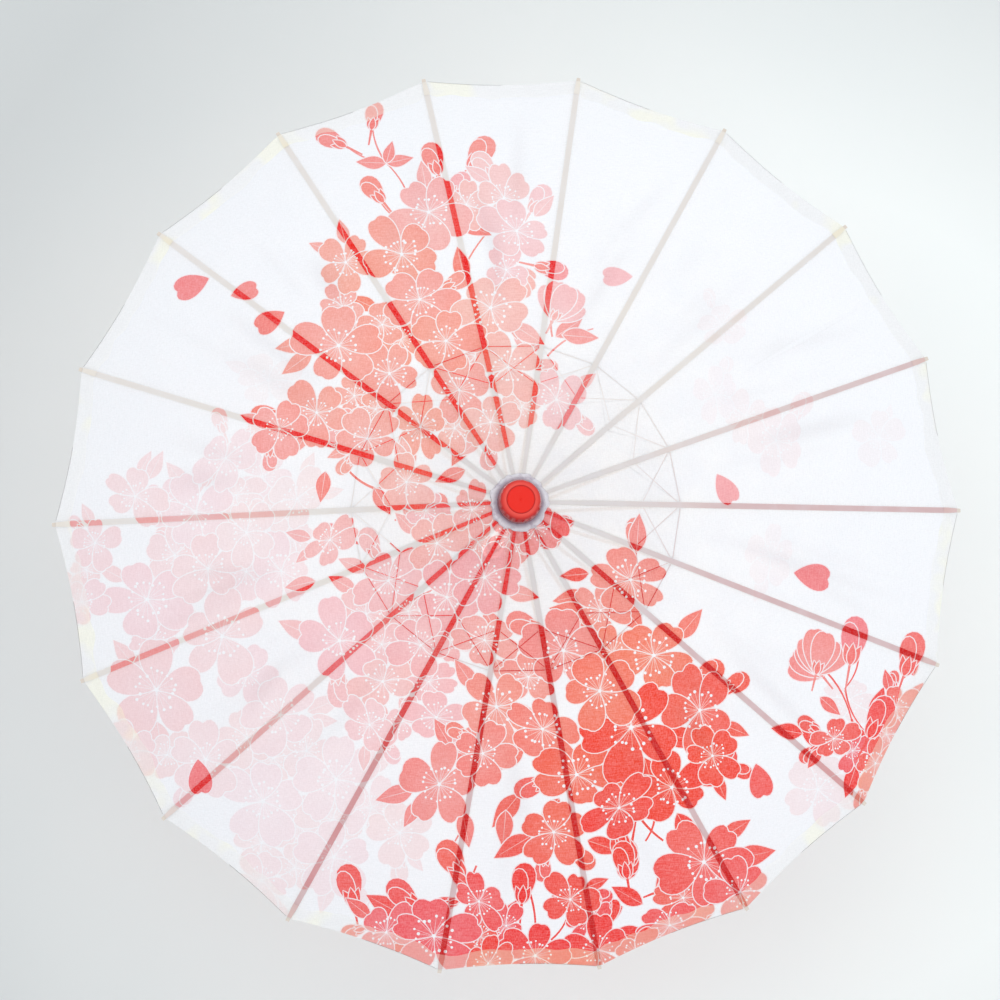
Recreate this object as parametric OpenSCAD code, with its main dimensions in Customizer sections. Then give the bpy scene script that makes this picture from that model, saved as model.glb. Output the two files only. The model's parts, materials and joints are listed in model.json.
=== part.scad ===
// Folding parasol with eighteen ribs, a printed cloth canopy and a wooden shaft.
// The frame stands upright: +Z runs up the shaft and the origin is at the bottom of the handle.
// It is modelled open. Each rib folds down about its pin in the hub, each stretcher turns on its
// rib, and the runner slides down the shaft. Rib and stretcher have the same length between pins,
// so both always stand at the same angle and the runner drops by twice their rise.

/* [Canopy] */
// Distance from the shaft's axis to a rib's tip, open
open_radius = 410; // [300:5:500]
// Slope of an open rib below the horizontal
rib_slope = 20; // [16:1:24]
// Thickness of the cloth as a plain solid
cloth_t = 0.5; // [0.4:0.1:0.8]
// Width of the hem folded over onto the outer face
hem_w = 13; // [8:1:20]
// How far a rib's tip stands out past the cloth
tip_out = 4; // [2:0.5:8]

/* [Ribs and stretchers] */
// Width of a rib's slat
rib_w = 5; // [4:0.1:5.4]
// Thickness of a rib's slat
rib_t = 3; // [2:0.1:3.5]
// Distance from a rib's hub pin to its stretcher pin, which is also a stretcher's length
link_l = 136; // [110:1:150]
// Width of a stretcher
stretcher_w = 3; // [2.4:0.1:3.6]
// Radius of the pin that joins a stretcher to its rib
joint_pin_r = 0.75; // [0.6:0.05:0.9]
// Radius of the thread that ties the frame
thread_r = 0.3; // [0.25:0.05:0.4]

/* [Hub and runner] */
// Radius of the ring of pins in the hub and in the runner
pivot_r = 14; // [14:0.5:16]
// Radius of the hub's and the runner's slotted rims
rim_r = 17; // [17:0.5:19]
// Radius of the tie wires
wire_r = 0.5; // [0.4:0.05:0.6]
// Length of the runner's sleeve below its rim
sleeve_l = 30; // [20:1:40]
// Radius of the red knob at its base
knob_r = 19; // [18.5:0.5:22]
// Height of the red knob
knob_h = 22; // [20:1:28]
// Outer radius of the cloth collar under the knob
collar_r = 26; // [24:0.5:30]

/* [Shaft and handle] */
// Radius of the wooden shaft
shaft_r = 6; // [5.5:0.25:6.5]
// Height of the hub's pins above the handle's bottom
hub_z = 520; // [510:5:560]
// Radius of the handle's grip
grip_r = 10.5; // [9:0.5:13]
// Length of the handle
handle_l = 85; // [75:5:90]

/* [Hidden] */
RIBS = 18;
pitch = 360 / RIBS;
fine = 64;
small = 32;
thread_sides = 16;
// How far a cutting shape runs past what it cuts
cut = 1;

// Each rib is drawn along X from its hub pin, with the slat standing off on the outer side.
slat_off = 2;
slat_start = 8;
slat_w_in = 3.6;
slat_full = 60;
slat_end_w = 3.2;
slat_taper = 9;
neck_w = 2;
neck_bend = 4;
neck_low = 1.6;
neck_high = 2.4;
neck_lap = 4;
eye_r = 2.1;
rib_l = (open_radius - pivot_r) / cos(rib_slope);

// The pin joint between rib and stretcher
ear_r = 1.9;
ear_reach = 5;
tongue_w = 1.5;
ear_gap = tongue_w + 0.3;
run_gap = 0.05;
wire_gap = 0.08;
pin_head_r = 1.2;
pin_head_t = 0.4;

// A stretcher is a strut between a neck at the runner and a tongue between the rib's ears.
stretcher_t = 3;
strut_start = 9;
strut_short = 5.5;
stretcher_bend = 6;
stretcher_lap = 5;
tongue_l = 9;
tongue_t = 2.4;
tongue_r = ear_r - 0.3;

// Hub and runner
slot_w = neck_w + 0.4;
slot_r = pivot_r - eye_r - 1;
slot_clear = 0.9;
rim_below = 5.5;
rim_above = 6;
runner_above = eye_r + 1.4;
hub_neck_r = 13;
hub_neck_h = 3;
runner_z = hub_z - 2 * link_l * sin(rib_slope);
sleeve_r = 10.5;
foot_ring_w = 1.5;
foot_ring_h = 5;
slide_gap = 0.1;
runner_bottom = runner_z - rim_below - sleeve_l;
knob_z = hub_z + rim_above + hub_neck_h;
knob_socket = 12;
shaft_top = knob_z + knob_socket;

// Cloth: its outer face runs this far off the line of the rib's pins.
glue_gap = 0.45;
cloth_off = slat_off + rib_t + glue_gap + cloth_t;
cloth_start = 4;
hem_t = 0.4;
seam_gap = 0.4;

// Cloth collar
collar_t = 2.4;
collar_lift = 0.9;
collar_gap = 0.2;

// Where the threads are tied: clear of a rib's middle, along a stretcher, and below the joint's pin
beside_rib = rib_w / 2 + pin_head_t + 0.6;
tie_x = 100;
tie_drop = 1;

// Catch that holds the runner up
catch_w = 2.6;
catch_slot_w = 3.1;
catch_slot_back = 3;
catch_slot_below = 4;
catch_slot_above = 3;
catch_z = runner_bottom - 22;
catch_x = 1.5;
catch_eye_r = 2;
catch_pin_r = 0.8;
catch_pin_l = 11;
catch_top = runner_bottom - 0.3;
catch_nose = 8.8;
catch_heel = 8;
spring_w = 2;
spring_x = -2.9;
spring_t = 0.5;
spring_bend = 6;
spring_top = 15;

// Handle
socket_depth = 45;
grip_edge = 2.5;
grip_high = handle_l - 20;
grip_neck = 3;

function two_digits(i) = i < 10 ? str("0", i) : str(i);
function rib_azimuth(i) = (i - 1) * pitch;
function tangent(i) = [-sin(rib_azimuth(i)), cos(rib_azimuth(i)), 0];

// Point on rib i's plane, x along the rib's line and n off it towards the outer side
function rib_point(i, x, n = 0) =
    let (r = pivot_r + x * cos(rib_slope) + n * sin(rib_slope))
    [
        r * cos(rib_azimuth(i)),
        r * sin(rib_azimuth(i)),
        hub_z - x * sin(rib_slope) + n * cos(rib_slope)
    ];

// Point on the middle line of stretcher i, x from the runner's pin
function stretcher_point(i, x) =
    let (r = pivot_r + x * cos(rib_slope))
    [r * cos(rib_azimuth(i)), r * sin(rib_azimuth(i)), runner_z + x * sin(rib_slope)];

// The place beside rib i's pin head, or beside its stretcher, where a thread is tied
function beside(i, p, side) = p + side * beside_rib * tangent(i);

module at_rib(i)
    rotate([0, 0, rib_azimuth(i)])
        translate([pivot_r, 0, hub_z])
            rotate([0, rib_slope, 0])
                children();

module at_stretcher(i)
    rotate([0, 0, rib_azimuth(i)])
        translate([pivot_r, 0, runner_z])
            rotate([0, -rib_slope, 0])
                children();

// A flat plate of width w in the XZ plane, centred on Y
module plate(w, points)
    rotate([90, 0, 0])
        linear_extrude(w, center = true)
            polygon(points);

// A round bar along Y, centred
module cross_bar(r, l, sides = small)
    rotate([90, 0, 0])
        cylinder(r = r, h = l, center = true, $fn = sides);

module strand(from, to, r)
{
    run = to - from;
    translate(from)
        rotate([0, acos(run[2] / norm(run)), atan2(run[1], run[0])])
            cylinder(r = r, h = norm(run), $fn = thread_sides);
}

module wire_ring(r)
    rotate_extrude($fn = fine)
        translate([pivot_r, 0])
            circle(r = r, $fn = small);

// Bamboo slat with a thin neck and eye at the hub and two ears that hold the stretcher's pin
module rib(i)
{
    at_rib(i)
    {
        difference()
        {
            union()
            {
                cross_bar(eye_r, neck_w);
                plate(neck_w, [
                    [0, -eye_r],
                    [neck_bend, -neck_low],
                    [slat_start + neck_lap, slat_off],
                    [slat_start + neck_lap, slat_off + rib_t],
                    [slat_start, slat_off + rib_t],
                    [neck_bend, neck_high],
                    [0, eye_r]
                ]);
                translate([0, 0, slat_off])
                    linear_extrude(rib_t)
                        polygon([
                            [slat_start, -slat_w_in / 2],
                            [slat_full, -rib_w / 2],
                            [rib_l - slat_taper, -rib_w / 2],
                            [rib_l, -slat_end_w / 2],
                            [rib_l, slat_end_w / 2],
                            [rib_l - slat_taper, rib_w / 2],
                            [slat_full, rib_w / 2],
                            [slat_start, slat_w_in / 2]
                        ]);
                translate([link_l, 0, 0])
                {
                    cross_bar(ear_r, rib_w);
                    plate(rib_w, [
                        [-ear_r, 0],
                        [ear_r, 0],
                        [ear_reach, slat_off],
                        [-ear_reach, slat_off]
                    ]);
                }
            }
            cross_bar(wire_r + wire_gap, rib_w);
            translate([link_l, 0, 0])
            {
                cross_bar(joint_pin_r, rib_w + 2 * cut);
                translate([0, 0, -ear_r])
                    cube([2 * (ear_reach + 2 * cut), ear_gap, 2 * (ear_r + slat_off)], center = true);
            }
        }
    }
    joint_pin(i);
}

// Rivet through the ears, with a head on each side
module joint_pin(i)
    at_rib(i)
        translate([link_l, 0, 0])
        {
            cross_bar(joint_pin_r, rib_w);
            for (side = [-1, 1])
                translate([0, side * (rib_w + pin_head_t) / 2, 0])
                    cross_bar(pin_head_r, pin_head_t);
        }

// Short bamboo strut from the runner up to the rib
module stretcher(i)
    at_stretcher(i)
        difference()
        {
            union()
            {
                cross_bar(eye_r, neck_w);
                plate(neck_w, [
                    [0, -eye_r],
                    [stretcher_bend, -stretcher_t / 2],
                    [strut_start + stretcher_lap, -stretcher_t / 2],
                    [strut_start + stretcher_lap, stretcher_t / 2],
                    [stretcher_bend, stretcher_t / 2],
                    [0, eye_r]
                ]);
                translate([strut_start, -stretcher_w / 2, -stretcher_t / 2])
                    cube([link_l - strut_start - strut_short, stretcher_w, stretcher_t]);
                translate([link_l - tongue_l, -tongue_w / 2, -tongue_t / 2])
                    cube([tongue_l, tongue_w, tongue_t]);
                translate([link_l, 0, 0])
                    cross_bar(tongue_r, tongue_w);
            }
            cross_bar(wire_r + wire_gap, stretcher_w);
            translate([link_l, 0, 0])
                cross_bar(joint_pin_r + run_gap, rib_w);
        }

// Slots for eighteen necks in a rim, open outwards and towards z = high or z = low
module rim_slots(low, high)
    for (i = [1:RIBS])
        rotate([0, 0, rib_azimuth(i)])
            translate([slot_r, -slot_w / 2, low])
                cube([rim_r, slot_w, high - low]);

// Slotted hub that is glued on the shaft's top
module upper_hub()
    color("ivory")
        difference()
        {
            union()
            {
                translate([0, 0, hub_z - rim_below])
                    cylinder(r = rim_r, h = rim_below + rim_above, $fn = fine);
                translate([0, 0, hub_z + rim_above])
                    cylinder(r = hub_neck_r, h = hub_neck_h, $fn = fine);
            }
            translate([0, 0, hub_z - rim_below - cut])
                cylinder(r = shaft_r, h = rim_below + rim_above + hub_neck_h + 2 * cut, $fn = fine);
            rim_slots(hub_z - rim_below - cut, hub_z + eye_r + slot_clear);
            translate([0, 0, hub_z])
                wire_ring(wire_r + run_gap);
        }

module hub_tie_wire()
    color("silver")
        translate([0, 0, hub_z])
            wire_ring(wire_r);

// Turned knob: a tapered bell with a flat top and rounded shoulders
module finial_knob()
{
    foot_r = 1.5;
    shoulder_r = 4;
    top_r = knob_r * 0.8;
    color("crimson")
        difference()
        {
            translate([0, 0, knob_z])
                rotate_extrude($fn = fine)
                    polygon(concat(
                        [[0, 0], [knob_r - foot_r, 0]],
                        [for (a = [-60:30:0])
                            [knob_r - foot_r + foot_r * cos(a), foot_r + foot_r * sin(a)]],
                        [for (a = [15:15:90])
                            [top_r - shoulder_r + shoulder_r * cos(a),
                             knob_h - shoulder_r + shoulder_r * sin(a)]],
                        [[0, knob_h]]
                    ));
            translate([0, 0, knob_z - cut])
                cylinder(r = shaft_r, h = knob_socket + cut, $fn = fine);
        }
}

// Cloth wound round the hub's neck under the knob, over the canopy's inner edge
module crown_collar()
{
    fall = tan(rib_slope);
    inner = rim_r + 0.5;
    lip = knob_r + 1;
    low = hub_z + rim_above + collar_lift;
    color("lavender")
        rotate_extrude($fn = fine)
            polygon([
                [inner, low - (rim_r - pivot_r) * fall],
                [collar_r, low - (collar_r - pivot_r) * fall],
                [collar_r, low + collar_t - (collar_r - pivot_r) * fall],
                [lip, low + 1.5 * collar_t - (knob_r - pivot_r) * fall],
                [lip - 2, knob_z - collar_gap],
                [hub_neck_r, knob_z - collar_gap],
                [hub_neck_r, hub_z + rim_above + collar_gap],
                [inner, hub_z + rim_above + collar_gap]
            ]);
}

// Sliding runner with the stretchers' slots open at its top
module runner()
    color("ivory")
        difference()
        {
            union()
            {
                translate([0, 0, runner_z - rim_below])
                    cylinder(r = rim_r, h = rim_below + runner_above, $fn = fine);
                translate([0, 0, runner_bottom])
                    cylinder(r = sleeve_r, h = sleeve_l + cut, $fn = fine);
                translate([0, 0, runner_bottom])
                    cylinder(r = sleeve_r + foot_ring_w, h = foot_ring_h, $fn = fine);
            }
            translate([0, 0, runner_bottom - cut])
                cylinder(
                    r = shaft_r + slide_gap,
                    h = sleeve_l + rim_below + runner_above + 2 * cut,
                    $fn = fine
                );
            rim_slots(runner_z - eye_r - slot_clear, runner_z + runner_above + cut);
            translate([0, 0, runner_z])
                wire_ring(wire_r + run_gap);
        }

module runner_tie_wire()
    color("silver")
        translate([0, 0, runner_z])
            wire_ring(wire_r);

module shaft()
    color("burlywood")
        difference()
        {
            translate([0, 0, handle_l - socket_depth])
                cylinder(r = shaft_r, h = shaft_top - handle_l + socket_depth, $fn = fine);
            translate([-catch_slot_back, -catch_slot_w / 2, catch_z - catch_slot_below])
                cube([
                    catch_slot_back + shaft_r + cut,
                    catch_slot_w,
                    catch_slot_below + runner_bottom - catch_z + catch_slot_above
                ]);
            translate([catch_x, 0, catch_z])
                cross_bar(catch_pin_r, 3 * shaft_r);
        }

// Brass lever with a sloping nose that the runner rests on
module catch()
    color("goldenrod")
        difference()
        {
            union()
            {
                translate([catch_x, 0, catch_z])
                    cross_bar(catch_eye_r, catch_w);
                plate(catch_w, [
                    [catch_x - 1.6, catch_z],
                    [catch_x + catch_eye_r, catch_z],
                    [shaft_r - 0.6, catch_z + catch_heel],
                    [catch_nose, catch_top - 2.5],
                    [catch_nose, catch_top - 1],
                    [catch_nose - 1, catch_top],
                    [catch_x + 0.6, catch_top],
                    [catch_x - 0.4, catch_top - 3]
                ]);
            }
            translate([catch_x, 0, catch_z])
                cross_bar(catch_pin_r + run_gap, 2 * catch_w);
        }

// Bent leaf behind the catch, held in the shaft at its foot
module catch_spring()
    color("silver")
        plate(spring_w, [
            [spring_x, catch_z - catch_slot_below + spring_t],
            [spring_x + spring_t, catch_z - catch_slot_below + spring_t],
            [spring_x + spring_t, catch_z + spring_bend],
            [spring_x + spring_t + 2.6, catch_z + spring_top],
            [spring_x + 2.6, catch_z + spring_top + spring_t],
            [spring_x, catch_z + spring_bend]
        ]);

module catch_pin()
    color("silver")
        translate([catch_x, 0, catch_z])
            cross_bar(catch_pin_r, catch_pin_l);

// Turned grip, glued over the shaft's lower end
module handle()
    color("sienna")
        difference()
        {
            rotate_extrude($fn = fine)
                polygon(concat(
                    [[0, 0]],
                    [for (a = [-90:15:0])
                        [grip_r - grip_edge + grip_edge * cos(a), grip_edge + grip_edge * sin(a)]],
                    [for (t = [0:0.2:1])
                        [grip_r - grip_neck * t * t, grip_high + (handle_l - grip_high) * t]],
                    [[0, handle_l]]
                ));
            translate([0, 0, handle_l - socket_depth])
                cylinder(r = shaft_r, h = socket_depth + cut, $fn = fine);
        }

// One panel of cloth between ribs i and i + 1, with its hem. An outline drawn along each rib
// is joined to the other by flat faces. It stops short of both ribs' middle lines.
module gore(i)
{
    edge = rib_l - tip_out;
    low = cloth_off - cloth_t;
    outline = [
        [cloth_start, low],
        [edge, low],
        [edge, cloth_off + hem_t],
        [edge - hem_w, cloth_off + hem_t],
        [edge - hem_w, cloth_off],
        [cloth_start, cloth_off]
    ];
    n = len(outline);
    corners = [for (side = [0, 1])
        for (p = outline)
            rib_point(i + side, p[0], p[1]) + (1 - 2 * side) * seam_gap / 2 * tangent(i + side)];
    skin = [for (a = [0:n - 1])
        let (b = (a + 1) % n)
        each [[a, b, b + n], [a, b + n, a + n]]];
    polyhedron(corners, concat(skin, [
        [5, 4, 1, 0],
        [4, 3, 2, 1],
        [n, n + 1, n + 4, n + 5],
        [n + 1, n + 2, n + 3, n + 4]
    ]));
}

// The two panels that are glued to rib i and reach to the ribs on both sides of it
module canopy(i)
    color("mistyrose")
    {
        gore(i - 1);
        gore(i);
    }

// Thread tied round the frame at the rib joints, and crossed between the stretchers inside it
module lattice_thread()
    color("white")
        for (i = [1:RIBS])
        {
            joint = rib_point(i, link_l);
            next_joint = rib_point(i + 1, link_l);
            drop = [0, 0, tie_drop];
            strand(beside(i, joint, 1), beside(i + 1, next_joint, -1), thread_r);
            strand(
                beside(i, joint, 1) - drop,
                beside(i + 1, stretcher_point(i + 1, tie_x), -1),
                thread_r
            );
            strand(
                beside(i + 1, next_joint, -1) - 3 * drop,
                beside(i, stretcher_point(i, tie_x), 1) - 2 * drop,
                thread_r
            );
        }

shaft();
handle();
upper_hub();
hub_tie_wire();
finial_knob();
crown_collar();
runner();
runner_tie_wire();
catch();
catch_spring();
catch_pin();
lattice_thread();
for (i = [1:RIBS])
{
    color("tan") rib(i);
    color("tan") stretcher(i);
}
for (i = [1:2:RIBS])
    canopy(i);
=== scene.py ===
"""Looks of the folding parasol: printed cloth canopy, bamboo frame, threads, knob and handle.

Lengths in this script are in millimetres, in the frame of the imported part, until a mesh is made.
"""

import json
import math
import random

import bpy
import numpy as np
from mathutils import Matrix, Vector
from mathutils.geometry import delaunay_2d_cdt


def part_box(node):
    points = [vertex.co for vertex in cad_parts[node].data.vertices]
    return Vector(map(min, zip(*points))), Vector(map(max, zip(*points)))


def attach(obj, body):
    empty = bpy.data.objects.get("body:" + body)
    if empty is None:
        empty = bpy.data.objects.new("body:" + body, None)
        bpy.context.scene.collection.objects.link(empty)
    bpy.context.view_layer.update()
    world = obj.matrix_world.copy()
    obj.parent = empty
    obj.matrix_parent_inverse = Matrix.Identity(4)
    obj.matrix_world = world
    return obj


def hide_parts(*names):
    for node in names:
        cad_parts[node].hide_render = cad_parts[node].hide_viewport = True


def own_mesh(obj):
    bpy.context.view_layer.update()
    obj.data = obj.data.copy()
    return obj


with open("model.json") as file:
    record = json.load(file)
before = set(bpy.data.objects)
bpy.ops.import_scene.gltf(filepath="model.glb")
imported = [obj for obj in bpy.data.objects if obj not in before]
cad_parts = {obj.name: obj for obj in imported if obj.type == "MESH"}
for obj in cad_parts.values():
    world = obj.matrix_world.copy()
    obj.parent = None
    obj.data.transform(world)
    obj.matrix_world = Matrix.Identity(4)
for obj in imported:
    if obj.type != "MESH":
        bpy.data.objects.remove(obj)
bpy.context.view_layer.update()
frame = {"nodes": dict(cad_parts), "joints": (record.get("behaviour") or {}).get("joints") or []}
MM = 0.001

# ---------------------------------------------------------------- what the frame says
joints = {j["name"]: j for j in frame["joints"]}
RIBS = sum(name.startswith("rib_") and name.endswith("_fold") for name in joints)
PITCH = math.tau / RIBS
HALF = PITCH / 2
hub_pin = Vector(joints["rib_01_fold"]["pos_m"]) / MM
joint_pin = Vector(joints["stretcher_01_turn"]["pos_m"]) / MM
runner_pin = Vector(joints["runner_travel"]["pos_m"]) / MM
LINK = (joint_pin - hub_pin).length
SLOPE = math.atan2(hub_pin.z - joint_pin.z, joint_pin.x - hub_pin.x)
FALL = math.tan(SLOPE)
SLAT_TOP = 5.0        # top of a slat, off the line of its rib's pins
RIB_L = (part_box("rib_01")[1].x / MM - hub_pin.x - SLAT_TOP * math.sin(SLOPE)) / math.cos(SLOPE)

# ---------------------------------------------------------------- the cloth's shape
CLOTH_OFF = 5.25      # the glued cloth, off the line of the rib's pins
STRIP = 3.0           # half the width of the strip that is glued to a rib
CORNER = 1.2          # how softly a panel turns into its strip
CLOTH_START = 4.0     # from a rib's pin to where the cloth starts
TIP_OUT = 4.0         # how far a rib's end stands out past the cloth
HEM = 13.0            # width of the hem, folded over onto the outer face
HEM_LIFT = 0.45       # of the hem, over the cloth
BACK_OF_PRINT = np.array([0.3, 0.21, 0.26])     # how much paler the ink is on the hem, as powers
RIM_DIP = 3.5         # how far the rim runs in between two tips
SAG = 2.4             # of the cloth at the rim, midway between two ribs
CREASES = 3           # soft creases in each panel
CELL = 5.5            # spacing of the canopy's mesh
ROW = 0.87            # from row to row of it, in cells
TAUT = 0.25           # share of a panel's width, beside a rib, in which its creases fade out

# ---------------------------------------------------------------- the threads
THREAD_R = 0.35
THREAD_WIDE = 0.75    # of the mark a thread makes on the cloth
BESIDE = 3.5          # from a rib's middle to where a thread is tied
TIE_X = 100.0         # where the crossed threads are tied, along a stretcher
RING_RISE = 3.0       # of the ring of thread, over the line of the joints
KNOT_R = 0.8          # of the knots at the ribs
TIE_KNOT_R = 0.7      # of the knots at the stretchers

KNOB_FLAT = 11.9      # radius of the flat of the knob's top
BORE = 6.05           # radius of the handle's bore, round the shaft


def plan_radius(x):
    """How far from the shaft the cloth is, at x along a rib."""
    return hub_pin.x + x * math.cos(SLOPE) + CLOTH_OFF * math.sin(SLOPE)


START = plan_radius(CLOTH_START)
END = plan_radius(RIB_L - TIP_OUT)
APEX = hub_pin.z + hub_pin.x * FALL + CLOTH_OFF / math.cos(SLOPE) + STRIP * FALL * math.tan(HALF)
RIM_HEIGHT = APEX - FALL * (END + STRIP * math.tan(HALF))


def make_creases():
    """Soft lines in the cloth, from near the rim in towards the middle: start, end, width, depth."""
    draw = random.Random(5)
    found = []
    for panel in range(RIBS):
        middle = (panel + 0.5) * PITCH
        for _ in range(CREASES):
            out, inner = draw.uniform(0.72, 0.96) * END, draw.uniform(0.3, 0.6) * END
            a, b = middle + draw.uniform(-0.8, 0.8) * HALF, middle + draw.uniform(-0.5, 0.5) * HALF
            found.append((
                out * math.cos(a), out * math.sin(a), inner * math.cos(b), inner * math.sin(b),
                draw.uniform(5, 8), 0.3 + 1.4 * draw.random() ** 2,
            ))
    return found


creases = make_creases()


def local_frame(x, y):
    """Along and across the nearest rib."""
    angle = np.arctan2(y, x)
    turn = angle - np.round(angle / PITCH) * PITCH
    r = np.hypot(x, y)
    return r * np.cos(turn), r * np.sin(turn)


def crease_depth(x, y):
    """How deep the cloth dips in its creases. It is taut beside a rib."""
    along, across = local_frame(x, y)
    fold = np.zeros_like(along)
    for ax, ay, bx, by, wide, deep in creases:
        dx, dy = bx - ax, by - ay
        long = math.hypot(dx, dy)
        share = ((x - ax) * dx + (y - ay) * dy) / long**2
        off = ((x - ax) * dy - (y - ay) * dx) / long
        fold += deep * np.exp(-((off / wide) ** 2)) * np.sin(math.pi * np.clip(share, 0, 1)) ** 2
    width = np.maximum(along * math.tan(HALF) - STRIP, 0.1)
    loose = np.clip((np.abs(across) - STRIP) / width / TAUT, 0, 1)
    return fold * loose * loose * (3 - 2 * loose)


def cloth_height(x, y):
    """Height of the cloth over the plan: flat over each slat, and sagging a little between ribs."""
    along, across = local_frame(x, y)
    side = np.abs(across)
    ridge = 0.5 * (side + STRIP + np.sqrt((side - STRIP) ** 2 + CORNER**2))
    width = np.maximum(along * math.tan(HALF) - STRIP, 0.1)
    inward = np.clip((side - STRIP) / width, 0, 1)
    sag = SAG * (along / END) ** 1.3 * (1 - np.cos(math.pi * inward)) / 2
    return APEX - FALL * (along + math.tan(HALF) * ridge) - sag - crease_depth(x, y)


def cloth_normals(x, y):
    """Normals of the cloth, from its height a step to each side."""
    step = 0.2
    slope_x = (cloth_height(x + step, y) - cloth_height(x - step, y)) / (2 * step)
    slope_y = (cloth_height(x, y + step) - cloth_height(x, y - step)) / (2 * step)
    n = np.column_stack([-slope_x, -slope_y, np.ones_like(slope_x)])
    return n / np.linalg.norm(n, axis=1)[:, None]


# ---------------------------------------------------------------- the print
# Shapes are painted one over another. Each has an outline in the plan, counter-clockwise, the strength
# of its ink, from 0, bare cloth, to 1, and a hue. The higher the hue, the pinker the ink.
shapes = []
HALO, HALO_INK = 0.95, 0.12              # width and share of ink of the pale line round a petal
SCARLET = ((90, -190), (-110, 150))      # where the print is scarlet rather than rose
SCARLET_SIZE = 85.0
ROSE, TO_SCARLET = 0.64, 0.8             # the hue away from those places, and how much lower it is there
HUE_SPREAD = 0.5      # how far a motif's own hue counts
CALYX_HUE, STEM_HUE, LEAF_HUE, FALLEN_HUE = 0.3, 0.35, 0.4, 0.8
STAMENS = 21          # in a blossom
SHRUNK = 0.91         # of a blossom in a cluster, from the size it is listed with


def paint(outline, ink, hue=0.5, centre=(0, 0), reach=1.0, fade=0.0):
    """Adds a shape whose ink is weaker by the share `fade` at centre than at reach. Its hue, from 0 to 1,
    is shifted by its place in the print."""
    outline = np.asarray(outline, float)
    away = min(math.dist(outline.mean(0), spot) for spot in SCARLET) / SCARLET_SIZE
    hue = ROSE - TO_SCARLET * math.exp(-0.5 * away**2) + HUE_SPREAD * (hue - 0.5)
    shapes.append((outline, ink, hue, centre[0], centre[1], reach, fade))


def placed(points, at, turn):
    """Points turned about the origin, and then moved."""
    c, s = math.cos(turn), math.sin(turn)
    return np.asarray(points) @ np.array([[c, s], [-s, c]]) + at


def grown(points, by):
    """The outline moved outwards, for a counter-clockwise one."""
    along = np.roll(points, -1, 0) - np.roll(points, 1, 0)
    out = np.column_stack([along[:, 1], -along[:, 0]])
    return points + by * out / np.maximum(np.linalg.norm(out, axis=1), 1e-6)[:, None]


def petal(length, width, notch, points=26):
    """A petal along x, from its narrow foot to its notched tip."""
    t = np.linspace(-math.pi, math.pi, points, endpoint=False)
    x = 0.5 * length * (1 + np.cos(t)) - notch * length * np.exp(-((t / 0.24) ** 2))
    y = width * np.sin(t) * ((1 + np.cos(t)) / 2) ** 0.42
    return np.column_stack([x, y])


def leaf_outline(length, width):
    """A pointed leaf along x."""
    t = np.linspace(0, 1, 11)
    low = np.column_stack([length * t, -width * np.sin(math.pi * t**0.85) * (1 - 0.25 * t)])
    return np.vstack([low, (low * [1, -1])[-2:0:-1]])


def toward(x, y, long, turn):
    """The place this far from (x, y), in the direction of turn."""
    return x + long * math.cos(turn), y + long * math.sin(turn)


def haloed(shape, x, y, turn, ink, hue, reach=1.0, fade=0.0):
    """A shape, moved to (x, y) and turned, with a pale line round it."""
    points = placed(shape, (x, y), turn)
    paint(grown(points, HALO), HALO_INK * ink, hue)
    paint(points, ink, hue, (x, y), reach, fade)


def bar(a, b, wide_a, wide_b):
    """A straight strip from a to b, and how wide it is at each."""
    a, b = np.array(a, float), np.array(b, float)
    across = np.array([a[1] - b[1], b[0] - a[0]]) / max(math.hypot(*(b - a)), 1e-6) / 2
    return [a - across * wide_a, b - across * wide_b, b + across * wide_b, a + across * wide_a]


def dot(at, r):
    t = np.linspace(0, math.tau, 7, endpoint=False)
    return np.column_stack([at[0] + r * np.cos(t), at[1] + r * np.sin(t)])


def stamens(at, size, ink, hue, draw):
    """Pale threads from a blossom's heart to a ring of white dots."""
    for k in range(STAMENS):
        a = math.tau * (k + draw.uniform(-0.3, 0.3)) / STAMENS
        r = size * draw.uniform(0.33, 0.5)
        tip, root = toward(*at, r, a), toward(*at, 0.07 * size, a)
        paint(bar(root, tip, 0.5, 0.35), 0.3 * ink, hue)
        paint(dot(tip, draw.uniform(0.028, 0.042) * size), 0)
    paint(dot(at, 0.045 * size), 0)


def blossom(x, y, size, ink):
    """Five broad petals with notched tips, more or less tilted away."""
    draw = random.Random(f"blossom {x} {y}")
    turn, hue = draw.uniform(0, math.tau), draw.random()
    tilt, lean = draw.uniform(0.66, 1.0), draw.uniform(0, math.pi)
    for k in (0, 2, 4, 1, 3):
        a = turn + k * math.tau / 5 + draw.uniform(-0.14, 0.14)
        long = size * draw.uniform(0.95, 1.25)
        shape = petal(long, long * draw.uniform(0.42, 0.53), draw.uniform(0.05, 0.13))
        at = toward(0, 0, 0.05 * size, a)
        shape = placed(placed(shape, at, a), (0, 0), -lean) * [tilt, 1]
        haloed(shape, x, y, lean, ink * draw.uniform(0.92, 1.05), hue, size, 0.16)
    stamens((x, y), size, ink, hue, draw)


def side_blossom(x, y, size, ink, turn):
    """A blossom seen from its side, opening in the direction of turn from its calyx at (x, y)."""
    draw = random.Random(f"side {x} {y}")
    turn, hue = math.radians(turn), draw.random()
    for lean in (-0.62, 0.6, -0.28, 0.3, 0.0):
        long = size * draw.uniform(0.85, 1.05)
        shape = petal(long, long * 0.34, draw.uniform(0.03, 0.08))
        haloed(shape, x, y, turn + lean, ink, hue, size, 0.2)
    bud_foot(x, y, size * 0.4, ink, turn)


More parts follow.
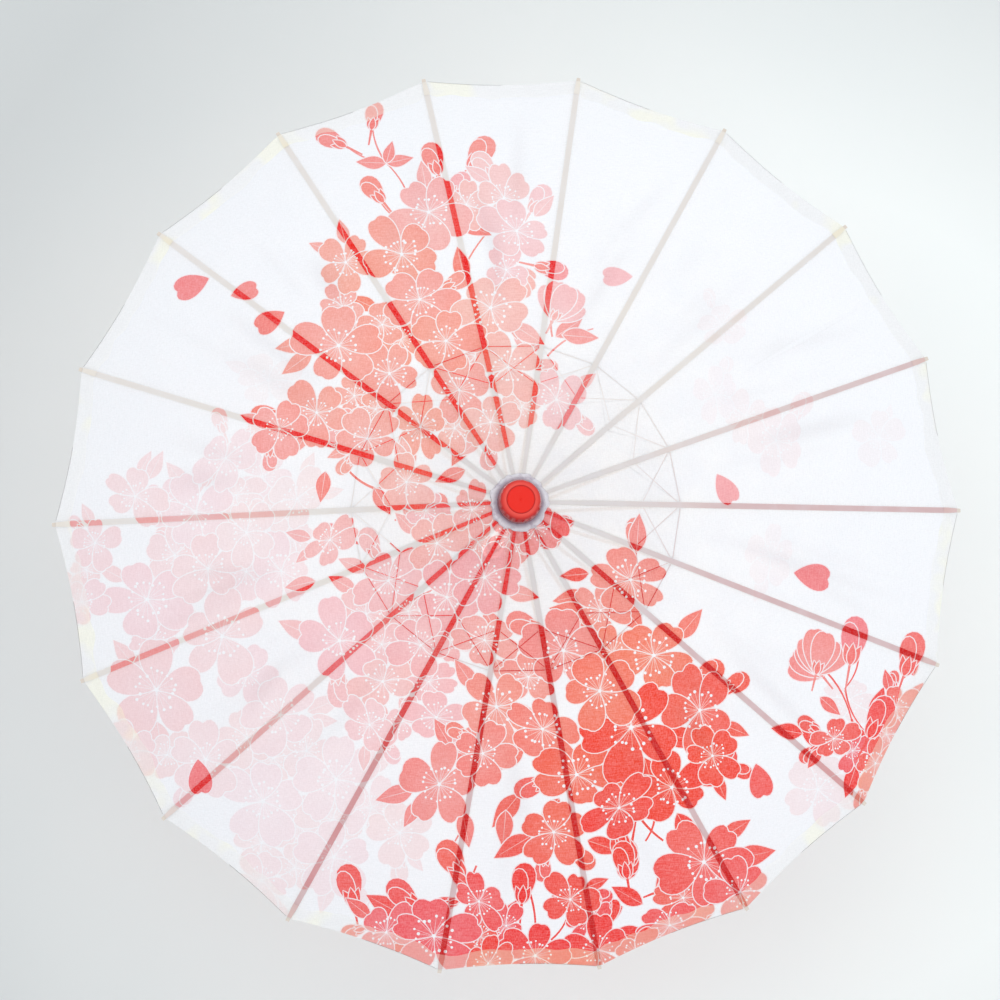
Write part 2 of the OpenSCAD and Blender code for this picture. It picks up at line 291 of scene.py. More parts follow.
def bud_foot(x, y, size, ink, turn):
    """Calyx with three points, and a short stalk."""
    for lean in (-0.4, 0.4, 0.0):
        haloed(leaf_outline(size * 0.75, size * 0.17), x, y, turn + lean, min(1, 1.15 * ink), CALYX_HUE)
    paint(bar(toward(x, y, -0.9 * size, turn), (x, y), 1.5, 2.4), ink, CALYX_HUE)


def bud(x, y, size, ink, turn):
    """A closed bud with two petals wrapped round each other."""
    turn, size = math.radians(turn), 1.3 * size
    hue = random.Random(f"bud {x} {y}").random()
    haloed(petal(size, size * 0.36, 0.0, 18), x, y, turn, ink, hue)
    haloed(petal(size * 0.86, size * 0.24, 0.0, 16), x, y, turn + 0.17, ink, hue)
    bud_foot(x, y, size * 0.6, ink, turn)


def leaf(x, y, size, ink, turn):
    turn, size = math.radians(turn), 1.25 * size
    haloed(leaf_outline(size, size * 0.26), x, y, turn, ink, LEAF_HUE)
    paint(bar((x, y), toward(x, y, 0.85 * size, turn), 0.7, 0.3), 0.35 * ink, LEAF_HUE)


def fallen_petal(x, y, size, ink, turn):
    haloed(petal(size, size * 0.42, 0.1), x, y, math.radians(turn), ink, FALLEN_HUE)


def stem(ax, ay, bx, by, bend, ink, wide=1.8):
    """A stem from a to b, bowed sideways by `bend`."""
    a, b = np.array((ax, ay), float), np.array((bx, by), float)
    side = np.array([a[1] - b[1], b[0] - a[0]]) / math.hypot(*(b - a))
    t = np.linspace(0, 1, 9)[:, None]
    line = a + (b - a) * t + 4 * bend * t * (1 - t) * side
    run = np.gradient(line, axis=0)
    out = np.column_stack([run[:, 1], -run[:, 0]]) / np.linalg.norm(run, axis=1)[:, None]
    half = wide * (1 - 0.3 * t) / 2
    paint(np.vstack([line + out * half, (line - out * half)[::-1]]), ink, STEM_HUE)


def each(motif, *rows):
    """Draws one motif after another, each from a row of its values."""
    for row in rows:
        motif(*row)


def uncovered(at, flowers):
    """Whether no blossom reaches this place."""
    return all(math.hypot(at[0] - x, at[1] - y) > 0.95 * size for x, y, size, _ in flowers)


def cluster(flowers, leafy=2, share=1.0):
    """Blossoms, with lesser ones in the gaps between them, and leaves and buds that fringe them."""
    flowers = [(x, y, SHRUNK * size, ink * share) for x, y, size, ink in flowers]
    draw = random.Random(len(flowers))
    heart = (sum(f[0] for f in flowers) / len(flowers), sum(f[1] for f in flowers) / len(flowers))
    behind = []
    for k, (ax, ay, a_size, a_ink) in enumerate(flowers):
        for bx, by, b_size, b_ink in flowers[:k]:
            gap, room = math.hypot(bx - ax, by - ay), a_size + b_size
            at = ((ax + bx) / 2 + draw.uniform(-4, 4), (ay + by) / 2 + draw.uniform(-4, 4))
            if gap < 1.35 * room and uncovered(at, flowers + behind):
                behind.append((*at, draw.uniform(0.32, 0.42) * room, 0.47 * (a_ink + b_ink)))
    for x, y, size, ink in flowers:
        away = math.atan2(y - heart[1], x - heart[0])
        for k in range(leafy):
            turn = away + draw.uniform(-1.3, 1.3)
            at = toward(x, y, 0.7 * size, turn)
            grow = bud if draw.random() < 0.3 else leaf
            small = size * draw.uniform(0.6, 0.85)
            grow(*at, small, 0.97 * ink, math.degrees(turn + draw.uniform(-0.4, 0.4)))
    for flower in behind + flowers:
        blossom(*flower)


def draw_print():
    """The whole print, from the faint blossoms at the back to the strong ones in front."""
    cluster([
        (-325, -70, 42, 0.13), (-258, -105, 42, 0.12), (-318, -150, 44, 0.15), (-280, 5, 36, 0.1),
        (-253, 52, 34, 0.09), (-335, 22, 30, 0.11), (-372, -18, 24, 0.12), (-225, -250, 38, 0.08),
        (-160, -232, 40, 0.08), (-208, -175, 38, 0.1), (-270, -45, 34, 0.12), (-163, -300, 34, 0.08),
        (-105, -280, 30, 0.09), (-205, -50, 34, 0.1), (-190, 12, 30, 0.07), (-275, -212, 34, 0.1),
        (-385, -70, 26, 0.13), (-345, -205, 28, 0.13), (-228, -320, 28, 0.09), (-235, -15, 30, 0.09),
    ], share=0.8)
    cluster([
        (235, 60, 34, 0.035), (190, 165, 26, 0.02), (300, -170, 30, 0.05), (270, -250, 32, 0.06),
        (226, -43, 28, 0.02), (335, 65, 26, 0.02), (180, 100, 26, 0.02), (-215, 120, 30, 0.02),
    ], 1)

    # Upper left cluster
    each(
        stem, (-85, 275, -107, 322, -4, 0.38), (-107, 322, -119, 362, 3, 0.38),
        (-107, 322, -146, 344, 4, 0.36), (-97, 265, -116, 290, 2, 0.36), (-45, 262, -62, 312, 5, 0.36),
        (-50, 285, -28, 318, 4, 0.36), (35, 150, 44, 190, 4, 0.3), (30, 132, 72, 158, 4, 0.28),
        (-101, 26, -123, 18, 3, 0.38), (-123, 18, -154, 52, 5, 0.4, 2.2), (-154, 52, -205, 82, -4, 0.42),
        (-12, 258, -45, 258, 0, 0.36), (-45, 205, -12, 258, 3, 0.36),
    )
    each(
        bud, (-120, 356, 22, 0.42, 80), (-143, 340, 24, 0.38, 150), (-60, 308, 26, 0.38, 105),
        (-32, 312, 30, 0.35, 60), (-110, 283, 24, 0.38, 125), (22, 218, 24, 0.32, -15),
    )
    each(
        leaf, (-107, 322, 22, 0.36, 175), (-107, 322, 20, 0.36, 10), (-107, 322, 18, 0.38, 75),
        (-56, 280, 26, 0.38, 115), (-48, 270, 30, 0.4, 70), (-44, 262, 26, 0.42, -25),
        (-40, 205, 26, 0.42, 100), (-30, 75, 22, 0.35, -70), (38, 150, 24, 0.3, 35), (44, 152, 26, 0.3, -5),
        (-155, 60, 30, 0.38, 150), (-165, 35, 22, 0.4, -100), (-123, 18, 22, 0.36, -60),
        (-178, 88, 26, 0.42, 190), (-118, 180, 22, 0.4, 150), (-40, 62, 26, 0.4, -120),
    )
    each(side_blossom, (-4, 216, 34, 0.22, -60), (36, 165, 38, 0.2, 62), (-152, 55, 30, 0.4, 105))
    each(bud, (-200, 85, 24, 0.42, 170))
    cluster([
        (-2, 285, 32, 0.2), (-145, 226, 28, 0.34), (8, 252, 34, 0.19), (-70, 272, 36, 0.31),
        (-95, 232, 38, 0.4), (-172, 88, 30, 0.38), (-108, 120, 32, 0.39), (-80, 188, 34, 0.4),
        (-152, 148, 38, 0.38), (36, 92, 30, 0.19), (-18, 178, 38, 0.27), (-5, 122, 32, 0.25),
        (-48, 102, 34, 0.34), (-58, 148, 32, 0.4), (-82, 70, 30, 0.34), (-22, 72, 28, 0.26),
        (-205, 75, 26, 0.38), (-128, 62, 28, 0.34),
    ], share=0.82)

    # Between the hub and the lower left
    each(stem, (-60, -60, -110, -30, 4, 0.3), (-110, -95, -70, -70, 3, 0.3))
    each(
        leaf, (-112, 28, 24, 0.34, -20), (-80, 12, 26, 0.32, -60), (-45, 30, 22, 0.34, 200),
        (-95, -98, 24, 0.28, -120), (-60, -95, 26, 0.3, -80), (-30, -90, 24, 0.33, -60),
        (-175, -60, 22, 0.24, 190), (-140, -70, 22, 0.24, 150), (-85, -120, 24, 0.3, 240),
    )
    each(bud, (-140, -28, 26, 0.3, 160), (-90, -5, 24, 0.34, 20))
    cluster([
        (-112, -62, 32, 0.22), (-162, -25, 26, 0.25), (-155, -112, 36, 0.2), (-118, -148, 32, 0.2),
        (-95, 22, 26, 0.24), (-70, -32, 30, 0.26), (-62, -78, 32, 0.27), (-8, -30, 28, 0.33),
        (-30, -62, 34, 0.31), (-72, -180, 30, 0.24), (-30, -115, 30, 0.3), (-85, -118, 28, 0.24),
        (14, -22, 22, 0.42), (-40, -5, 24, 0.27), (-130, -185, 28, 0.17),
    ], share=0.9)

    # Strong blossoms at the lower right
    each(
        stem, (97, -255, 128, -292, -3, 0.75, 2.6), (120, -262, 112, -292, 3, 0.75, 2.2),
        (-48, -262, -62, -295, 3, 0.42),
    )
    each(
        leaf, (0, -248, 30, 0.55, -130), (-12, -262, 26, 0.5, -95), (10, -285, 30, 0.62, -150),
        (60, -290, 26, 0.75, -20), (140, -268, 30, 0.8, -60), (58, -78, 24, 0.42, 190),
        (60, -95, 28, 0.45, 170), (60, -60, 20, 0.6, 185), (-42, -215, 26, 0.42, 160),
        (-60, -205, 22, 0.4, 120), (78, -152, 26, 0.5, 140), (-50, -262, 26, 0.42, -80),
    )
    each(bud, (152, -155, 26, 0.55, 30), (165, -212, 24, 0.7, -20), (100, -292, 26, 0.8, -100))
    cluster([
        (-70, -238, 36, 0.38), (97, -65, 38, 0.37), (-20, -172, 38, 0.36), (38, -125, 38, 0.4),
        (118, -130, 40, 0.46), (20, -192, 36, 0.47), (50, -232, 40, 0.58), (160, -178, 38, 0.6),
        (30, -282, 32, 0.58), (135, -245, 38, 0.8), (98, -192, 46, 0.76), (88, -262, 34, 0.76),
        (70, -160, 34, 0.5), (172, -218, 28, 0.72), (-32, -212, 28, 0.42),
    ])

    # Along the rim at the bottom
    each(
        stem, (5, -325, 14, -372, 3, 0.8, 2.2), (28, -378, 45, -345, -4, 0.8),
        (-38, -310, -70, -352, 4, 0.6),
    )
    each(
        leaf, (-30, -378, 30, 0.85, 150), (-20, -372, 28, 0.9, 60), (92, -350, 30, 0.8, 200),
        (85, -372, 30, 0.85, -15), (110, -348, 26, 0.78, 150), (30, -350, 24, 0.8, 60),
        (-105, -352, 28, 0.65, 150), (198, -328, 26, 0.75, -70), (122, -372, 26, 0.8, -20),
        (55, -355, 26, 0.9, 100), (-95, -375, 26, 0.75, 190), (0, -390, 30, 0.9, 0),
    )
    each(
        bud, (-146, -345, 30, 0.6, 100), (-50, -322, 30, 0.55, 118), (2, -345, 28, 0.85, 85),
        (96, -325, 26, 0.78, 100),
    )
    each(side_blossom, (70, -372, 38, 0.85, 100), (122, -338, 34, 0.72, 20))
    cluster([
        (-118, -368, 30, 0.55), (-36, -342, 28, 0.65), (-76, -372, 42, 0.64), (45, -342, 26, 0.7),
        (165, -312, 42, 0.62), (198, -340, 30, 0.6), (70, -388, 30, 0.8), (14, -392, 32, 0.84),
        (135, -368, 30, 0.66), (105, -392, 26, 0.74), (-28, -398, 28, 0.78),
    ])

    # Branch that comes in from the rim at the right
    each(
        stem, (266, -136, 302, -188, 6, 0.6, 2.0), (302, -188, 318, -208, -2, 0.65, 2.2),
        (308, -122, 296, -160, 5, 0.6), (296, -160, 316, -200, -4, 0.62), (252, -200, 318, -214, 5, 0.68),
        (328, -176, 312, -232, 6, 0.7, 2.2), (312, -232, 302, -256, -2, 0.75, 2.4),
        (362, -132, 352, -152, 3, 0.5),
    )
    each(
        leaf, (276, -212, 26, 0.72, 140), (255, -200, 24, 0.75, 170), (318, -206, 22, 0.68, 160),
        (322, -190, 26, 0.7, 70), (306, -230, 24, 0.76, -110), (338, -200, 22, 0.72, 60),
        (272, -168, 20, 0.5, -40), (362, -150, 22, 0.55, 100), (310, -250, 24, 0.8, -60),
    )
    cluster([(325, -228, 28, 0.66), (285, -205, 24, 0.62), (345, -178, 24, 0.56)], 3)
    each(side_blossom, (275, -150, 40, 0.4, 130), (268, -148, 42, 0.38, 75))
    each(bud, (300, -140, 34, 0.42, 80), (352, -150, 32, 0.5, 70), (318, -205, 32, 0.66, 60))

    # Petals that have fallen from them
    each(
        fallen_petal, (-268, 218, 34, 0.4, 200), (-248, 200, 26, 0.38, 15), (-200, 182, 30, 0.42, -150),
        (110, 208, 28, 0.2, 180), (178, 28, 30, 0.28, -60), (248, -58, 36, 0.42, -10),
        (212, -226, 32, 0.6, -75), (-282, -212, 32, 0.45, -85), (30, -8, 24, 0.55, -70),
    )


draw_print()
SHAPE_INK, SHAPE_HUE, SHAPE_X, SHAPE_Y, SHAPE_REACH, SHAPE_FADE = (
    np.array([s[k] for s in shapes]) for k in range(1, 7)
)
SHAPE_LOW = np.array([s[0].min(0) for s in shapes])
SHAPE_HIGH = np.array([s[0].max(0) for s in shapes])
WETTEST, BARELY = 1.15, 0.02     # the most ink that shows on backed cloth, and the least that counts


def ink_colour(strength, hue):
    """Linear colour of cloth with this much ink on it."""
    red = np.exp(-0.03 * strength - 0.05 * np.maximum(strength - 0.85, 0) / 0.3)
    green = np.exp(-(2.6 * strength + 1.6 * strength**2))
    blue = np.exp(-(2.6 * strength + 2.5 * strength**2) * (1.2 - 0.14 * strength - 0.33 * hue))
    return np.column_stack([red, green, blue])


def printed(top, points, backed):
    """Ink colour at points, each under the shape whose number is in top (-1 for bare cloth)."""
    k = np.maximum(top, 0)
    away = np.hypot(points[:, 0] - SHAPE_X[k], points[:, 1] - SHAPE_Y[k])
    near = 1 - np.clip(away / SHAPE_REACH[k], 0, 1)
    strength = SHAPE_INK[k] * (1 - SHAPE_FADE[k] * near)
    # Ink looks stronger where the cloth is glued down.
    wet = np.minimum(2.2 * strength + 5.0 * strength**2, WETTEST)
    strength = np.where(backed & (strength > BARELY), wet, strength)
    return ink_colour(np.where(top < 0, 0, strength), SHAPE_HUE[k])


# ---------------------------------------------------------------- canopy meshes
def grid_points(low, high):
    """Points of a triangular grid that is the same for every piece."""
    rows = np.arange(math.floor(low[1] / (CELL * ROW)), math.ceil(high[1] / (CELL * ROW)) + 1)
    columns = np.arange(math.floor(low[0] / CELL) - 1, math.ceil(high[0] / CELL) + 2)
    x, y = np.meshgrid(columns, rows)
    return np.column_stack([((x + 0.5 * (y % 2)) * CELL).ravel(), (y * CELL * ROW).ravel()])


def inside(points, outline, margin):
    """Which points lie within a convex outline, counter-clockwise, and this far from its edge."""
    keep = np.ones(len(points), bool)
    for a, b in zip(outline, np.roll(outline, -1, 0)):
        edge = b - a
        long = math.hypot(*edge)
        if long > 1e-6:
            keep &= ((points[:, 1] - a[1]) * edge[0] - (points[:, 0] - a[0]) * edge[1]) / long > margin
    return keep


def patch(outline, hull, lift, backing=()):
    """Printed cloth over an outline in the plan: points, normals, triangles, colours, what is backed."""
    low, high = outline.min(0), outline.max(0)
    touching = np.flatnonzero(((SHAPE_LOW < high) & (SHAPE_HIGH > low)).all(1))
    first_shape = 1 + len(backing)
    loops = [outline, *backing] + [shapes[k][0] for k in touching]
    grid = grid_points(low, high)
    loose = grid[inside(grid, hull, 0.3 * CELL)] if hull is not None else grid[:0]
    faces, first = [], 0
    for loop in loops:
        faces.append(list(range(first, first + len(loop))))
        first += len(loop)
    flat = np.vstack(loops + [loose])
    corners, _, cut, _, _, holders = delaunay_2d_cdt([Vector(p) for p in flat], [], faces, 0, 1e-4)
    points = np.array([tuple(p) for p in corners])
    # A triangle belongs to this piece if its outline, loop 0, holds it.
    kept = [(face, held) for face, held in zip(cut, holders) if 0 in held]
    triangles = np.array([face for face, _ in kept])
    backed = np.array([any(0 < k < first_shape for k in held) for _, held in kept])
    top = np.array([max(held) for _, held in kept]) - first_shape
    top = np.where(top >= 0, np.append(touching, 0)[np.maximum(top, 0)], -1)
    used, triangles = np.unique(triangles, return_inverse=True)
    triangles = triangles.reshape(-1, 3)
    points = points[used]
    a, b, c = (points[triangles[:, k]] for k in range(3))
    upside_down = ((b - a)[:, 0] * (c - a)[:, 1] - (b - a)[:, 1] * (c - a)[:, 0]) < 0
    triangles[upside_down] = triangles[upside_down][:, ::-1]
    corner = points[triangles.ravel()]
    ink = printed(np.repeat(top, 3), corner, np.repeat(backed, 3))
    if lift:
        ink = ink**BACK_OF_PRINT
    x, y = points[:, 0], points[:, 1]
    solid = np.column_stack([x, y, cloth_height(x, y) + lift])
    return solid, cloth_normals(x, y), triangles, ink, backed.astype(float)


def turned_edge(line, lift):
    """The cloth's turn at the rim, from its inner face up to the hem."""
    steps = np.linspace(-math.pi / 2, math.pi / 2, 5)
    z = cloth_height(line[:, 0], line[:, 1])
    out = line / np.linalg.norm(line, axis=1)[:, None]
    rows, normals = [], []
    for a in steps:
        reach = lift / 2 * math.cos(a)
        rows.append(np.column_stack([line + reach * out, z + lift / 2 * (1 + math.sin(a))]))
        normals.append(np.column_stack([math.cos(a) * out, np.full(len(line), math.sin(a))]))
    n = len(line)
    triangles = []
    for r in range(len(steps) - 1):
        for k in range(n - 1):
            a, b = r * n + k, r * n + k + 1
            triangles += [(a, b, b + n), (a, b + n, a + n)]
    triangles = np.array(triangles)
    return (
        np.vstack(rows), np.vstack(normals), triangles,
        np.ones((3 * len(triangles), 3)), np.zeros(len(triangles)),
    )


def add_object(name, data):
    made = bpy.data.objects.new(name, data)
    bpy.context.scene.collection.objects.link(made)
    return made


def add_attribute(mesh, name, kind, domain, key, values):
    layer = mesh.attributes.new(name, kind, domain)
    layer.data.foreach_set(key, values.astype(np.float32).ravel())


def settle(piece, body):
    """Says which body a piece rides."""
    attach(piece, body)


def cloth_piece(name, sheets):
    """One mesh from patches of cloth. Each comes with how much of it is hem, from 0 to 1."""
    first, parts = 0, []
    for (points, normals, triangles, ink, backed), hem in sheets:
        parts.append((points, normals, triangles + first, ink, backed, np.full(len(points), float(hem))))
        first += len(points)
    points, normals, triangles, ink, backed, hem = (np.concatenate(p) for p in zip(*parts))
    mesh = bpy.data.meshes.new(name)
    mesh.from_pydata((points * MM).tolist(), [], triangles.tolist())
    mesh.polygons.foreach_set("use_smooth", np.ones(len(triangles), bool))
    crease = crease_depth(points[:, 0], points[:, 1])
    add_attribute(mesh, "ink", "FLOAT_COLOR", "CORNER", "color", np.column_stack([ink, np.ones(len(ink))]))
    add_attribute(mesh, "backed", "FLOAT", "FACE", "value", backed)
    add_attribute(mesh, "hem", "FLOAT", "POINT", "value", hem)
    add_attribute(mesh, "crease", "FLOAT", "POINT", "value", crease)
    add_attribute(mesh, "plan", "FLOAT_VECTOR", "POINT", "vector", points)
    mesh.normals_split_custom_set_from_vertices(normals.tolist())
    mesh.materials.append(canopy_cloth)
    return add_object(name, mesh), sum(p.area for p in mesh.polygons)


def rib_turn(i):
    return (i - 1) * PITCH


def rib_name(i):
    return f"rib_{(i - 1) % RIBS + 1:02d}"


def turned(points, angle):
    return placed(points, (0, 0), angle)


def pressed_threads(i, side):
    """Where threads press on the cloth beside rib i: the ring from joint to joint, and the crossed ones."""
    # The cloth under these marks takes the slat tint, which is partly painted shade.
    joint = plan_radius(LINK)
    tie = runner_pin.x + TIE_X * math.cos(SLOPE)
    reach = [np.array([math.cos(k * PITCH), math.sin(k * PITCH)]) for k in (0, 1)]
    lines = ((joint * reach[0], joint * reach[1]), (tie * reach[0], joint * reach[1]),
             (joint * reach[0], tie * reach[1]))
    found = []
    for a, b in lines:
        loop = np.array(bar(a, b, THREAD_WIDE, THREAD_WIDE)) * (1, side)
        found.append(turned(loop, rib_turn(i))[::side])
    return found


def make_canopy():
    """A strip glued to each rib, and half a panel on each side of it."""
    to_middle = np.array([math.cos(HALF), math.sin(HALF)])
    to_rib = np.array([math.sin(HALF), -math.cos(HALF)])
    half_chord = END * math.sin(HALF) - STRIP * math.cos(HALF)
    w = np.linspace(half_chord, 0, 17)
    reach = END * math.cos(HALF) + STRIP * math.sin(HALF) - RIM_DIP * (1 - (w / half_chord) ** 2)
    rim = reach[:, None] * to_middle + w[:, None] * to_rib
    # The hem's inner edge keeps its distance from the rim, more or less, and stops at the strip.
    hem_reach = reach - HEM
    hem_w = np.minimum(w, (hem_reach * math.sin(HALF) - STRIP) / math.cos(HALF))
    hem_line = hem_reach[:, None] * to_middle + hem_w[:, None] * to_rib
    hem_start = hem_line[0, 0]
    inner = np.array([[START, START * math.tan(HALF)], [START, STRIP]])
    slat_edge = np.array([[START, -1.3], [90, -2.2], [200, -2.5], [END - 9, -2.5], [END, -1.8]])
    slat = np.vstack([slat_edge, (slat_edge * [1, -1])[::-1]])
    outer_edge = np.array([[END, -STRIP], [END, STRIP]])
    strip = np.vstack([[[START, -STRIP]], outer_edge, [[START, STRIP]]])
    strip_hem = np.vstack([[[hem_start, -STRIP]], outer_edge, [[hem_start, STRIP]]])
    for i in range(1, RIBS + 1):
        angle = rib_turn(i)
        body = rib_name(i)
        sheet, band, edge, under = (turned(p, angle) for p in (strip, strip_hem, outer_edge, slat))
        piece, area = cloth_piece(f"canopy_strip_{i:02d}", [
            (patch(sheet, sheet, 0, [under]), 0),
            (patch(band, None, HEM_LIFT, [under]), 1),
            (turned_edge(edge, HEM_LIFT), 1),
        ])
        settle(piece, body)
        if i % 2:
            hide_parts(f"canopy_{i:02d}")
        for side, word in ((1, "left"), (-1, "right")):
            draw = random.Random(f"hem {i} {word}")
            way = np.linspace(0, math.pi, len(hem_w))
            wave = sum(draw.uniform(-1.3, 1.3) * np.sin(k * way) for k in (1, 2, 3, 5))
            wavy = hem_line - wave[:, None] * to_middle
            line = turned(rim * (1, side), angle)
            # Every outline runs counter-clockwise.
            sheet, band, hull = (
                turned(np.vstack(ends) * (1, side), angle)[::side]
                for ends in ((rim, inner), (rim, wavy[::-1]), (rim[[0, -1]], inner))
            )
            piece, area = cloth_piece(f"canopy_panel_{i:02d}_{word}", [
                (patch(sheet, hull, 0, pressed_threads(i, side)), 0),
                (patch(band, None, HEM_LIFT), 1),
                (turned_edge(line, HEM_LIFT), 1),
            ])
            settle(piece, body)
            fold_in(piece)


def rib_axes(i):
    """Directions along rib i, across it, and out of it."""
    a = rib_turn(i)
    across = Vector((-math.sin(a), math.cos(a), 0))
    along = Vector((math.cos(a) * math.cos(SLOPE), math.sin(a) * math.cos(SLOPE), -math.sin(SLOPE)))
    return along, across, along.cross(across)


def rib_point(i, x, t=0.0, n=0.0):
    """The place x along rib i from its pin, t across it and n out of it."""
    along, across, out = rib_axes(i)
    a = rib_turn(i)
    pivot = Vector((hub_pin.x * math.cos(a), hub_pin.x * math.sin(a), hub_pin.z))
    return pivot + along * x + across * t + out * n


def fold_in(piece):
    """Gives the panel its own copy of its mesh."""
    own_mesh(piece)


# ---------------------------------------------------------------- materials
def node(tree, kind, *values, settings=None, **sockets):
    """Adds a shader node. Values go to its inputs by number, sockets by name; a socket is linked."""
    made = tree.nodes.new("ShaderNode" + kind)
    for key, value in (settings or {}).items():
        setattr(made, key, value)
    pairs = list(zip(made.inputs, values))
    pairs += [(made.inputs[key.replace("_", " ")], value) for key, value in sockets.items()]
    for socket, value in pairs:
        if isinstance(value, bpy.types.NodeSocket):
            tree.links.new(value, socket)
        elif value is not None:
            socket.default_value = value
    return made


def math_node(tree, operation, *values):
    return node(tree, "Math", *values, settings={"operation": operation}).outputs[0]


def times(tree, a, b):
    return math_node(tree, "MULTIPLY", a, b)


def rgba(colour):
    """A colour as a socket takes it. A number stands for a grey."""
    return (colour, colour, colour, 1) if isinstance(colour, (int, float)) else (*colour, 1)


def ramp(tree, factor, *stops):
    """A colour ramp from (position, colour) stops."""
    made = node(tree, "ValToRGB", factor)
    while len(made.color_ramp.elements) < len(stops):
        made.color_ramp.elements.new(0.5)
    for element, (place, colour) in zip(made.color_ramp.elements, stops):
        element.position = place
        element.color = rgba(colour)
    return made.outputs["Color"]


def mix(tree, factor, a, b, blend="MIX"):
    """Mixes two colours: the node's inputs 6 and 7, and its output 2."""
    made = tree.nodes.new("ShaderNodeMix")
    made.data_type = "RGBA"
    made.blend_type = blend
    for number, value in ((0, factor), (6, a), (7, b)):
        if isinstance(value, bpy.types.NodeSocket):
            tree.links.new(value, made.inputs[number])
        else:
            made.inputs[number].default_value = rgba(value) if number else value
    return made.outputs[2]


def noise(tree, vector, scale, detail=3.0, roughness=0.55):
    made = node(tree, "TexNoise", Vector=vector, Scale=scale, Detail=detail, Roughness=roughness)
    return made.outputs["Fac"]


def stretched(tree, vector, scale):
    return node(tree, "Mapping", Vector=vector, Scale=scale).outputs[0]


def new_material(name):
    material = bpy.data.materials.new(name)
    material.use_nodes = True
    tree = material.node_tree
    tree.nodes.clear()
    return material, tree


def finished(material, shader):
    """Links the last shader to the material's output."""
    tree = material.node_tree
    out = tree.nodes.new("ShaderNodeOutputMaterial")
    tree.links.new(shader.outputs[0], out.inputs[0])
    return material


def attribute(tree, name, output="Fac"):
    return node(tree, "Attribute", settings={"attribute_name": name}).outputs[output]


def object_place(tree):
    return node(tree, "TexCoord").outputs["Object"]


def off_axis(tree, place):
    """How far from the shaft a place is."""
    flat = stretched(tree, place, (1, 1, 0))
    return node(tree, "VectorMath", flat, settings={"operation": "LENGTH"}).outputs["Value"]


def rescaled(tree, value, low, high, to_low, to_high):
    return node(tree, "MapRange", value, low, high, to_low, to_high).outputs[0]


def bump(tree, height, strength, distance):
    return node(tree, "Bump", Height=height, Strength=strength, Distance=distance).outputs[0]


def make_canopy_cloth():
    """Thin plain weave. Ink and hem come from the mesh, and light passes through."""
    material, tree = new_material("canopy_cloth")
    ink = attribute(tree, "ink", "Color")
    hem = attribute(tree, "hem")
    backed = attribute(tree, "backed")
    plan = attribute(tree, "plan", "Vector")
    warp = noise(tree, stretched(tree, plan, (1.6, 0.16, 1)), 1.0, 2)
    weft = noise(tree, stretched(tree, plan, (0.14, 1.5, 1)), 1.0, 2)
    threads = times(tree, math_node(tree, "ADD", warp, weft), 0.5)
    cloudy = noise(tree, plan, 0.03, 3)
    bare = ramp(tree, cloudy, (0.35, (0.815, 0.822, 0.855)), (0.65, (0.855, 0.857, 0.872)))
    # Painted shade: the cloth turns bluer towards the rim.
    radius = off_axis(tree, plan)
    outer = rescaled(tree, radius, 130.0, 330.0, 0.0, 1.0)
    bare = mix(tree, outer, bare, mix(tree, 0.75, bare, (0.835, 0.847, 0.893)))
    # Painted shade: the cloth's colour is darker where it dips in a crease.
    crease_shade = attribute(tree, "crease")
    crease_shade = math_node(tree, "MINIMUM", times(tree, crease_shade, 0.55), 1.0)
    bare = mix(tree, crease_shade, bare, (0.74, 0.735, 0.77))
    # Old glue has stained the hem in places.
    bare = mix(tree, times(tree, hem, 0.6), bare, (0.9, 0.895, 0.875))
    stain = ramp(tree, noise(tree, plan, 0.022, 2), (0.53, 0.03), (0.64, 0.7))
    bare = mix(tree, mix(tree, hem, 0, stain), bare, (0.93, 0.92, 0.78))
    # The ink is uneven from thread to thread.
    uneven = ramp(tree, threads, (0.4, 0.0), (0.66, 0.18))
    faded = mix(tree, uneven, ink, 1)
    colour = mix(tree, 1.0, bare, faded, "MULTIPLY")
    # Painted shade, with the slats' own tone: cream at the upper left, dusky rose at the lower right.
    x, y, _ = node(tree, "SeparateXYZ", plan).outputs
    lower = math_node(tree, "SUBTRACT", x, times(tree, y, 1.5))
    lower = rescaled(tree, lower, -20.0, 200.0, 0.0, 1.0)
    slat = mix(tree, lower, (0.85, 0.79, 0.725), (0.73, 0.515, 0.5))
    # Painted shade: darker towards the hub.
    middle = rescaled(tree, radius, 70.0, 190.0, 1.0, 0.0)
    slat = mix(tree, middle, slat, (0.755, 0.7, 0.68))
    inked = math_node(tree, "SUBTRACT", 0.9, node(tree, "SeparateColor", ink).outputs["Green"])
    bright = times(tree, inked, math_node(tree, "SUBTRACT", 1.0, lower))
    slat = mix(tree, bright, slat, (0.98, 0.8, 0.8))
    patchy = ramp(tree, noise(tree, plan, 0.06, 3), (0.3, 0.85), (0.6, 1))
    # The slat tint, painted shade as well as tone, goes only on backed cloth.
    slat_tone_and_shade = mix(tree, times(tree, backed, patchy), 1, slat)
    colour = mix(tree, 1.0, colour, slat_tone_and_shade, "MULTIPLY")
    normal = bump(tree, threads, 0.25, 0.0002)
    face = node(
        tree, "BsdfPrincipled", Base_Color=colour, Normal=normal, Roughness=0.85,
        Sheen_Weight=0.04, Sheen_Roughness=0.4, Specular_IOR_Level=0.08,
    )
    through = node(tree, "BsdfTranslucent", Color=colour, Normal=normal)
    open_weave = node(tree, "BsdfTransparent", Color=faded)
    # Glued to a slat, the cloth passes less light.
    passed = math_node(tree, "MULTIPLY_ADD", backed, -0.33, 0.36)
    body = node(tree, "MixShader", passed, face.outputs[0], through.outputs[0])
    clear = times(tree, math_node(tree, "SUBTRACT", 1.25, threads), 0.3)
    clear = times(tree, clear, math_node(tree, "MULTIPLY_ADD", backed, -0.9, 1.0))
    whole = node(tree, "MixShader", clear, body.outputs[0], open_weave.outputs[0])
    return finished(material, whole)


